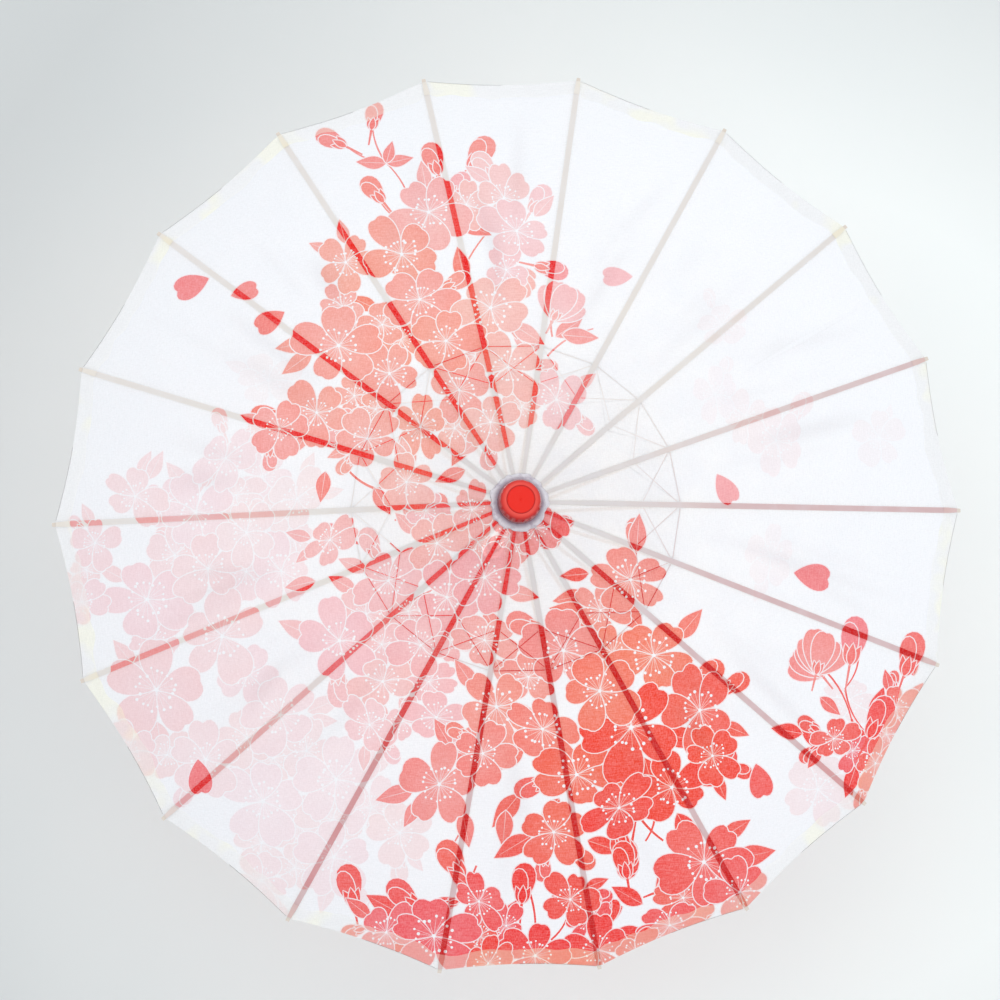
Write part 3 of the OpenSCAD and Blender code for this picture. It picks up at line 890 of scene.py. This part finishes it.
def make_collar_cloth():
    """Soft lavender cloth with a fine weave and crinkles, with painted shade in the crinkles' hollows and
    where it goes in under the knob.
    """
    material, tree = new_material("collar_cloth")
    place = object_place(tree)
    cloudy = noise(tree, place, 160, 4)
    weave = noise(tree, place, 2600, 2)
    # Painted shade: the colour follows the crinkles' noise, darker in their hollows.
    colour = ramp(tree, cloudy, (0.34, (0.62, 0.55, 0.64)), (0.5, (0.9, 0.87, 0.93)))
    # Painted shade where the collar goes in under the knob, broken up by the crinkles.
    plan = off_axis(tree, place)
    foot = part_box("finial_knob")[1].x
    shade = rescaled(tree, plan, foot, foot + 0.004, 0.8, 0.0)
    shade = times(tree, shade, math_node(tree, "ADD", cloudy, 0.45))
    colour = mix(tree, shade, colour, (0.24, 0.15, 0.24))
    height = math_node(tree, "ADD", times(tree, cloudy, 2.0), weave)
    face = node(
        tree, "BsdfPrincipled", Base_Color=colour, Roughness=0.7, Sheen_Weight=0.2,
        Normal=bump(tree, height, 0.8, 0.0006),
    )
    through = node(tree, "BsdfTranslucent", Color=colour)
    whole = node(tree, "MixShader", 0.25, face.outputs[0], through.outputs[0])
    return finished(material, whole)


def rib_coordinates(tree):
    """Along, across and up, in metres, for whichever rib or stretcher a point is on."""
    place = node(tree, "SeparateXYZ", object_place(tree))
    x, y, z = place.outputs
    angle = math_node(tree, "ARCTAN2", y, x)
    nearest = math_node(tree, "ROUND", math_node(tree, "DIVIDE", angle, PITCH))
    turn = math_node(tree, "SUBTRACT", angle, times(tree, nearest, PITCH))
    r = math_node(tree, "SQRT", math_node(
        tree, "ADD", times(tree, x, x), times(tree, y, y)
    ))
    along = times(tree, r, math_node(tree, "COSINE", turn))
    across = times(tree, r, math_node(tree, "SINE", turn))
    lowered = math_node(tree, "ADD", z, times(tree, along, FALL))
    # Each rib's grain is its own.
    across = math_node(tree, "ADD", across, times(tree, nearest, 0.37))
    return node(tree, "CombineXYZ", along, across, lowered).outputs[0], along


def make_bamboo():
    """Split bamboo: long fibres, faint rings where the cane had its knots, and a waxy skin."""
    material, tree = new_material("bamboo")
    place, along = rib_coordinates(tree)
    fibre = noise(tree, stretched(tree, place, (18, 2400, 900)), 1.0, 4, 0.6)
    broad = noise(tree, stretched(tree, place, (9, 160, 60)), 1.0, 2)
    colour = ramp(
        tree, fibre, (0.3, (0.46, 0.34, 0.2)), (0.5, (0.65, 0.52, 0.34)), (0.72, (0.76, 0.65, 0.47))
    )
    colour = mix(tree, times(tree, broad, 0.5), colour, (0.7, 0.58, 0.4))
    # The cut end, which stands out past the cloth, is bleached.
    tip = rescaled(tree, along, (END - 6) * MM, END * MM, 0.0, 0.8)
    colour = mix(tree, tip, colour, (0.66, 0.6, 0.56))
    shifted = math_node(tree, "ADD", along, times(tree, broad, 0.05))
    between_knots, ring_width = 0.085, 0.0022
    cycle = math_node(tree, "PINGPONG", shifted, between_knots)
    ring = rescaled(tree, cycle, 0.0, ring_width, 1.0, 0.0)
    colour = mix(tree, times(tree, ring, 0.65), colour, (0.3, 0.19, 0.09))
    height = math_node(tree, "ADD", fibre, times(tree, ring, 1.2))
    rough = rescaled(tree, fibre, 0.3, 0.7, 0.38, 0.58)
    face = node(
        tree, "BsdfPrincipled", Base_Color=colour, Roughness=rough, Specular_IOR_Level=0.4,
        Normal=bump(tree, height, 0.35, 0.0003),
    )
    return finished(material, face)


def turned_wood(name, dark, middle, light, coat, rough):
    """Wood with its grain up the shaft."""
    material, tree = new_material(name)
    place = object_place(tree)
    warped = mix(tree, 0.06, place, node(tree, "TexNoise", Vector=place, Scale=9.0).outputs["Color"])
    grain = noise(tree, stretched(tree, warped, (260, 260, 9)), 1.0, 5, 0.62)
    pores = noise(tree, stretched(tree, place, (1500, 1500, 45)), 1.0, 2)
    colour = ramp(tree, grain, (0.32, dark), (0.52, middle), (0.7, light))
    colour = mix(tree, ramp(tree, pores, (0.28, 0.5), (0.4, 0)), colour, dark)
    face = node(
        tree, "BsdfPrincipled", Base_Color=colour, Roughness=rough, Coat_Weight=coat,
        Coat_Roughness=0.15, Normal=bump(tree, math_node(tree, "ADD", grain, pores), 0.2, 0.0003),
    )
    return finished(material, face)


def make_knob_red():
    """Glossy red moulding with fine wear, painted shade down its side and a painted highlight on its
    shoulder.
    """
    material, tree = new_material("knob_red")
    place = object_place(tree)
    cloudy = noise(tree, place, 55, 3)
    wear = noise(tree, place, 900, 4)
    low, high = (corner.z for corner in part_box("finial_knob"))
    # Painted shade and painted highlight: the red is darkest at the foot and palest just under the top.
    up = node(tree, "SeparateXYZ", place).outputs["Z"]
    painted_light_by_height = rescaled(tree, up, low, high, 0.0, 1.0)
    colour = ramp(
        tree, painted_light_by_height, (0.1, (0.14, 0.002, 0.006)), (0.6, (0.26, 0.004, 0.007)), (0.8, (0.4, 0.01, 0.012)),
        (0.9, (0.58, 0.03, 0.026)), (0.98, (0.7, 0.075, 0.06)),
    )
    # The flat top is deeper red than the shoulder's painted highlight, with a line of painted shade between.
    plan = off_axis(tree, place)
    flat = rescaled(tree, plan, 0.0, KNOB_FLAT * MM * 1.1, 0.0, 1.0)
    disc_with_painted_groove = ramp(
        tree, flat, (0.8, (0.7, 0.01, 0.002)), (0.87, (0.55, 0.006, 0.002)), (0.91, (0.3, 0.004, 0.004))
    )
    colour = mix(tree, ramp(tree, flat, (0.91, 1), (0.94, 0)), colour, disc_with_painted_groove)
    colour = mix(tree, times(tree, cloudy, 0.2), colour, (0.7, 0.02, 0.01))
    rough = rescaled(tree, wear, 0.3, 0.7, 0.1, 0.22)
    face = node(
        tree, "BsdfPrincipled", Base_Color=colour, Roughness=rough, Specular_IOR_Level=0.14,
        Normal=bump(tree, cloudy, 0.1, 0.0005),
    )
    return finished(material, face)


def make_hub_plastic():
    """Ivory moulding with a satin skin, darker brown in its hollows."""
    material, tree = new_material("hub_ivory")
    place = object_place(tree)
    cloudy = noise(tree, place, 90, 4)
    grainy = noise(tree, place, 1400, 2)
    hollow = node(tree, "AmbientOcclusion", Distance=0.004).outputs["AO"]
    colour = ramp(tree, cloudy, (0.35, (0.72, 0.66, 0.54)), (0.65, (0.8, 0.76, 0.66)))
    # Darker brown where ambient occlusion finds a hollow.
    darker_in_hollows = ramp(tree, hollow, (0.2, 0.6), (0.7, 0))
    colour = mix(tree, darker_in_hollows, colour, (0.38, 0.31, 0.22))
    rough = rescaled(tree, grainy, 0.3, 0.7, 0.35, 0.5)
    face = node(
        tree, "BsdfPrincipled", Base_Color=colour, Roughness=rough, Subsurface_Weight=0.1,
        Subsurface_Scale=0.002, Normal=bump(tree, grainy, 0.15, 0.0002),
    )
    return finished(material, face)


def metal(name, dark, light, low, high):
    """Drawn metal, with smears that dull it in places."""
    material, tree = new_material(name)
    place = object_place(tree)
    smear = noise(tree, place, 220, 4)
    fine = noise(tree, place, 3000, 2)
    face = node(
        tree, "BsdfPrincipled", Base_Color=ramp(tree, smear, (0.35, dark), (0.65, light)), Metallic=1.0,
        Roughness=rescaled(tree, smear, 0.3, 0.7, low, high),
        Normal=bump(tree, fine, 0.1, 0.0001),
    )
    return finished(material, face)


def make_thread_cotton():
    """Two-ply cotton, brown."""
    material, tree = new_material("thread_cotton")
    place = object_place(tree)
    twist = node(
        tree, "TexWave", Vector=place, Scale=700.0, Distortion=1.5,
        settings={"wave_type": "BANDS", "bands_direction": "DIAGONAL"},
    ).outputs["Fac"]
    fuzz = noise(tree, place, 1800, 3)
    twist_and_fuzz = times(tree, twist, fuzz)
    # The colour follows the twist and the fuzz, darker where they are low.
    colour = ramp(tree, twist_and_fuzz, (0.1, (0.16, 0.11, 0.09)), (0.5, (0.34, 0.26, 0.22)))
    face = node(
        tree, "BsdfPrincipled", Base_Color=colour, Roughness=0.85, Sheen_Weight=0.3,
        Normal=bump(tree, twist, 0.6, 0.0002),
    )
    return finished(material, face)


canopy_cloth = make_canopy_cloth()
collar_cloth = make_collar_cloth()
bamboo = make_bamboo()
shaft_wood = turned_wood("shaft_wood", (0.3, 0.17, 0.08), (0.5, 0.32, 0.17), (0.62, 0.43, 0.25), 0.2, 0.42)
handle_wood = turned_wood(
    "handle_wood", (0.1, 0.03, 0.015), (0.24, 0.08, 0.035), (0.36, 0.14, 0.06), 0.3, 0.42
)
knob_red = make_knob_red()
hub_ivory = make_hub_plastic()
steel = metal("steel", (0.5, 0.5, 0.5), (0.68, 0.68, 0.67), 0.22, 0.4)
brass = metal("brass", (0.5, 0.32, 0.1), (0.75, 0.53, 0.2), 0.22, 0.42)
thread_cotton = make_thread_cotton()


# ---------------------------------------------------------------- solid pieces
def mesh_object(name, points, faces, material, smooth=True):
    mesh = bpy.data.meshes.new(name)
    mesh.from_pydata([tuple(c * MM for c in p) for p in points], [], faces)
    mesh.validate()
    mesh.polygons.foreach_set("use_smooth", [smooth] * len(mesh.polygons))
    mesh.materials.append(material)
    return add_object(name, mesh)


def lathe(name, profile, material, sides=96):
    """Turns a profile of (radius, height) about the shaft. Its ends lie on the axis, or it is a ring."""
    points, rings, faces = [], [], []
    for r, z in profile:
        if r < 1e-6:
            rings.append([len(points)] * sides)
            points.append((0, 0, z))
        else:
            rings.append(range(len(points), len(points) + sides))
            points += [
                (r * math.cos(math.tau * k / sides), r * math.sin(math.tau * k / sides), z)
                for k in range(sides)
            ]
    for low, high in zip(rings, rings[1:]):
        for k in range(sides):
            m = (k + 1) % sides
            corners = [low[k], low[m], high[m], high[k]]
            faces.append([c for n, c in enumerate(corners) if c not in corners[:n]])
    return mesh_object(name, points, faces, material)


def arc(cx, cz, r, start, end, steps):
    """Points of an arc in a profile, angles in degrees."""
    found = []
    for k in range(steps + 1):
        a = math.radians(start + (end - start) * k / steps)
        found.append((cx + r * math.cos(a), cz + r * math.sin(a)))
    return found


def tube(points, radius, sides=6):
    """Vertices and faces of a round tube along a line of points, closed at both ends."""
    vertices, faces = [], []
    for k, p in enumerate(points):
        run = (points[min(k + 1, len(points) - 1)] - points[max(k - 1, 0)]).normalized()
        side = run.cross(Vector((0, 0, 1))).normalized()
        up = side.cross(run)
        for s in range(sides):
            a = math.tau * s / sides
            vertices.append(p + (side * math.cos(a) + up * math.sin(a)) * radius)
    for k in range(len(points) - 1):
        for s in range(sides):
            m = (s + 1) % sides
            faces.append([k * sides + s, k * sides + m, (k + 1) * sides + m, (k + 1) * sides + s])
    last = (len(points) - 1) * sides
    faces += [list(range(sides))[::-1], list(range(last, last + sides))]
    return vertices, faces


def merged(parts):
    """Vertices and faces of several parts as one."""
    vertices, faces = [], []
    for more, corners in parts:
        faces += [[c + len(vertices) for c in face] for face in corners]
        vertices += more
    return vertices, faces


def make_knob():
    """Bell-shaped knob with a flat top, a fine dimple in it and a rounded foot."""
    low, high = (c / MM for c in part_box("finial_knob"))
    foot, height = high.x, high.z - low.z
    top_r, shoulder, foot_round = 0.89 * foot, 5.0, 1.6
    profile = [(0, low.z), (foot - foot_round, low.z)]
    profile += arc(foot - foot_round, low.z + foot_round, foot_round, -90, 4, 6)
    profile += [(foot, low.z + 2.6), (foot - 0.3, low.z + 0.3 * height), (foot - 0.9, low.z + 0.52 * height)]
    profile += arc(top_r - shoulder, high.z - shoulder, shoulder, 8, 76, 12)
    profile += [(KNOB_FLAT + 0.2, profile[-1][1] + 0.1), (KNOB_FLAT + 0.05, high.z - 0.45)]
    profile += [(KNOB_FLAT - 0.15, high.z), (KNOB_FLAT - 0.4, high.z), (1.6, high.z), (1.2, high.z)]
    profile += [(1.0, high.z - 0.05), (0.7, high.z - 0.35), (0, high.z - 0.45)]
    knob = lathe("knob", profile, knob_red, 128)
    settle(knob, "frame")
    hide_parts("finial_knob")


def make_collar():
    """A strip of cloth gathered round the hub's neck, with an uneven, crinkled edge."""
    draw = random.Random(11)
    outer = (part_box("crown_collar")[1] / MM).x
    neck = 16.4           # radius of its inner edge, out of sight under the knob
    lift = 0.45           # of the collar, off the canopy
    flat_share = 0.75     # of its width, before it turns under
    foot_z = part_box("finial_knob")[0].z / MM
    waves = [(k, draw.uniform(0, math.tau), draw.uniform(0.3, 1.0)) for k in (3, 5, 7, 11, 13, 17, 23, 29)]
    count, rows = 240, 16
    points, faces = [], []
    for a in range(count):
        turn = math.tau * a / count
        ripple = sum(size * math.sin(k * turn + phase) / k**0.5 for k, phase, size in waves)
        lap = sum(size * math.cos((k + 2) * turn + 2 * phase) / k**0.5 for k, phase, size in waves)
        edge = outer - 1.5 + 1.3 * lap
        for row in range(rows):
            t = row / (rows - 1)
            if t < flat_share:
                s = t / flat_share
                r = neck + (edge - neck) * s
                x, y = r * math.cos(turn), r * math.sin(turn)
                rest = float(cloth_height(np.array([max(x, 1e-6)]), np.array([y]))[0]) if r > 18 else foot_z
                z = min(foot_z - 0.35, rest + 2.3 * (1 - s**3) + 0.6)
                z += s * (0.6 + 0.8 * ripple) * math.sin(math.pi * min(1, s * 1.15))
                if r > 17.5:
                    z = max(z, rest + lift)
            else:
                s = (t - flat_share) / (1 - flat_share)
                curl = 1.1 * math.sin(math.pi * s)
                r = edge + curl * (1 - s) - 2.6 * s * s
                x, y = r * math.cos(turn), r * math.sin(turn)
                rest = float(cloth_height(np.array([x]), np.array([y]))[0])
                z = rest + lift + 0.8 * (1 - s) ** 2
            points.append((r * math.cos(turn), r * math.sin(turn), z))
    for a in range(count):
        b = (a + 1) % count
        for row in range(rows - 1):
            faces.append([a * rows + row, a * rows + row + 1, b * rows + row + 1, b * rows + row])
    collar = mesh_object("crown_collar_cloth", points, faces, collar_cloth)
    settle(collar, "frame")
    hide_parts("crown_collar")


def make_handle():
    """Turned grip with a bead at each end and shallow rings."""
    low, high = (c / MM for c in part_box("handle"))
    grip, tall, end_round = high.x, high.z, 2.4
    waist, waist_low, waist_high = 0.25, 12, 60
    profile = [(0, low.z), (grip - 3.0, low.z)]
    profile += arc(grip - end_round, low.z + end_round, end_round, -78, 0, 6)
    groove = ((0, -1.2), (0.55, -0.5), (0.55, 0.5), (0, 1.2))
    for middle in (9.0, 12.5):
        profile += [(grip - deep, middle + z) for deep, z in groove]
    for z in range(waist_low + 6, waist_high, 6):
        share = math.pi * (z - waist_low) / (waist_high - waist_low)
        profile.append((grip - waist * math.sin(share), z))
    neck = (
        (0, 62), (0, 65), (0.7, 66), (0.7, 67), (0.2, 68.2), (0.4, 70), (1.2, 75), (2.0, 80),
        (2.4, tall - 1.5), (3.0, tall - 0.4), (3.6, tall),
    )
    profile += [(grip - deep, z) for deep, z in neck]
    profile.append((BORE, tall))
    handle = lathe("handle_grip", profile, handle_wood, 96)
    settle(handle, "frame")
    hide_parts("handle")


def stretcher_point(i, x, t=0.0):
    """The place x along stretcher i from its pin on the runner, and t across it."""
    a = rib_turn(i)
    r = runner_pin.x + x * math.cos(SLOPE)
    across = Vector((-math.sin(a), math.cos(a), 0))
    return Vector((r * math.cos(a), r * math.sin(a), runner_pin.z + x * math.sin(SLOPE))) + across * t


def knot(at, r):
    """A small round knot, as a short fat tube."""
    levels = enumerate((-1, -0.6, 0.6, 1))
    return tube([at + Vector((1e-4 * k, 0, dz * r)) for k, dz in levels], r)


def thread_line(a, b):
    """Points of a thread that is pulled straight."""
    parts = 8
    return [a + (b - a) * (k / parts) for k in range(parts + 1)]


def make_threads():
    """A ring of thread from joint to joint, and crossed threads inside it."""
    for i in range(1, RIBS + 1):
        here = rib_point(i, LINK, BESIDE, RING_RISE)
        there = rib_point(i + 1, LINK, -BESIDE, RING_RISE)
        parts = [tube(thread_line(here, there), THREAD_R), knot(here, KNOT_R), knot(there, KNOT_R)]
        ring = mesh_object(f"ring_thread_{i:02d}", *merged(parts), thread_cotton)
        settle(ring, rib_name(i))
        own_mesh(ring)
        if i == 1:
            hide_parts("lattice_thread")
        for side in (1, -1):
            # Where two threads cross, one passes under the other.
            drop = Vector((0, 0, 1.0 if side < 0 else 3.0))
            tied = stretcher_point(i, TIE_X, side * BESIDE * 0.55)
            far = rib_point(i + side, LINK, -side * BESIDE) - drop
            crossed = mesh_object(
                f"cross_thread_{i:02d}_{'left' if side > 0 else 'right'}",
                *merged([tube(thread_line(tied, far), THREAD_R), knot(tied, TIE_KNOT_R)]), thread_cotton,
            )
            settle(crossed, f"stretcher_{i:02d}")
            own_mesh(crossed)


def finish_cad_nodes():
    """Gives the CAD nodes that stay their materials and softened edges."""
    looks = {
        "shaft": (shaft_wood, 0.3), "upper_hub": (hub_ivory, 0.35), "runner": (hub_ivory, 0.35),
        "hub_tie_wire": (steel, 0), "runner_tie_wire": (steel, 0), "catch": (brass, 0.25),
        "catch_spring": (steel, 0), "catch_pin": (steel, 0.1),
    }
    for i in range(1, RIBS + 1):
        looks[rib_name(i)] = (bamboo, 0.3)
        looks[f"stretcher_{i:02d}"] = (bamboo, 0.3)
    for name, (material, soften) in looks.items():
        piece = frame["nodes"][name]
        piece.data.materials.clear()
        piece.data.materials.append(material)
        if soften:
            weld = piece.modifiers.new("weld", "WELD")
            weld.merge_threshold = 0.00001
            edge = piece.modifiers.new("edge", "BEVEL")
            edge.width = soften * MM
            edge.segments = 2
            edge.limit_method = "ANGLE"
            edge.angle_limit = math.radians(35)
            edge.harden_normals = True


# ---------------------------------------------------------------- floor, light and camera
def make_floor():
    """The pale backdrop that it stands on."""
    material, tree = new_material("floor")
    place = object_place(tree)
    colour = ramp(tree, noise(tree, place, 3, 2), (0.3, (0.82, 0.86, 0.855)), (0.7, (0.85, 0.88, 0.87)))
    # Painted shade: the backdrop is darker away from the lamps.
    spread = node(tree, "VectorMath", place, (0.25, -0.05, 0), settings={"operation": "DISTANCE"})
    shade = ramp(tree, spread.outputs["Value"], (0.45, 1), (0.9, (0.7, 0.7, 0.71)))
    colour = mix(tree, 1.0, colour, shade, "MULTIPLY")
    face = node(tree, "BsdfPrincipled", Base_Color=colour, Roughness=0.9)
    finished(material, face)
    size, z = 90000, -0.2
    corners = [(-size, -size, z), (size, -size, z), (size, size, z), (-size, size, z)]
    mesh_object("floor", corners, [[0, 1, 2, 3]], material, smooth=False)


def area_light(name, at, aim, size, power, colour):
    light = bpy.data.lights.new(name, "AREA")
    light.shape = "DISK"
    light.size = size
    light.energy = power
    light.color = colour
    lamp = add_object(name, light)
    lamp.location = at
    lamp.rotation_euler = (Vector(aim) - Vector(at)).to_track_quat("-Z", "Y").to_euler()
    lamp.visible_camera = False


def make_light():
    """A pale sky, two broad lamps over the parasol and a weak one under it."""
    world = bpy.data.worlds.new("studio")
    bpy.context.scene.world = world
    world.use_nodes = True
    sky = world.node_tree.nodes["Background"]
    sky.inputs["Color"].default_value = (0.95, 0.98, 1.0, 1)
    sky.inputs["Strength"].default_value = 0.84
    area_light("key", (-0.5, 0.8, 2.8), (0, 0, 0.4), 2.2, 24, (1.0, 0.99, 0.97))
    area_light("fill", (1.3, -0.9, 2.2), (0, 0, 0.4), 1.8, 9.5, (0.97, 0.985, 1.0))
    area_light("under", (0, 0, 0.02), (0, 0, 1), 0.5, 1.4, (1.0, 0.99, 1.0))


def make_camera():
    """Above the parasol, nearly in line with its shaft, as in the photograph."""
    back = Vector((-0.051, -0.096, 0.994)).normalized()
    aim = Vector((-0.009, 0.016, RIM_HEIGHT * MM))
    away, roll = 2.4, math.radians(0.88)
    east = (Vector((1, 0, 0)) - back * back.x).normalized()
    north = back.cross(east)
    right = east * math.cos(roll) - north * math.sin(roll)
    up = north * math.cos(roll) + east * math.sin(roll)
    data = bpy.data.cameras.new("camera")
    data.sensor_width = 36
    data.lens = 95.5
    camera = add_object("camera", data)
    turn = Matrix((right, up, back)).transposed().to_4x4()
    camera.matrix_world = Matrix.Translation(aim + back * away) @ turn
    bpy.context.scene.camera = camera


make_camera()
make_light()
make_floor()
bpy.context.scene.view_settings.view_transform = "Standard"
make_canopy()
make_knob()
make_collar()
make_handle()
make_threads()
finish_cad_nodes()
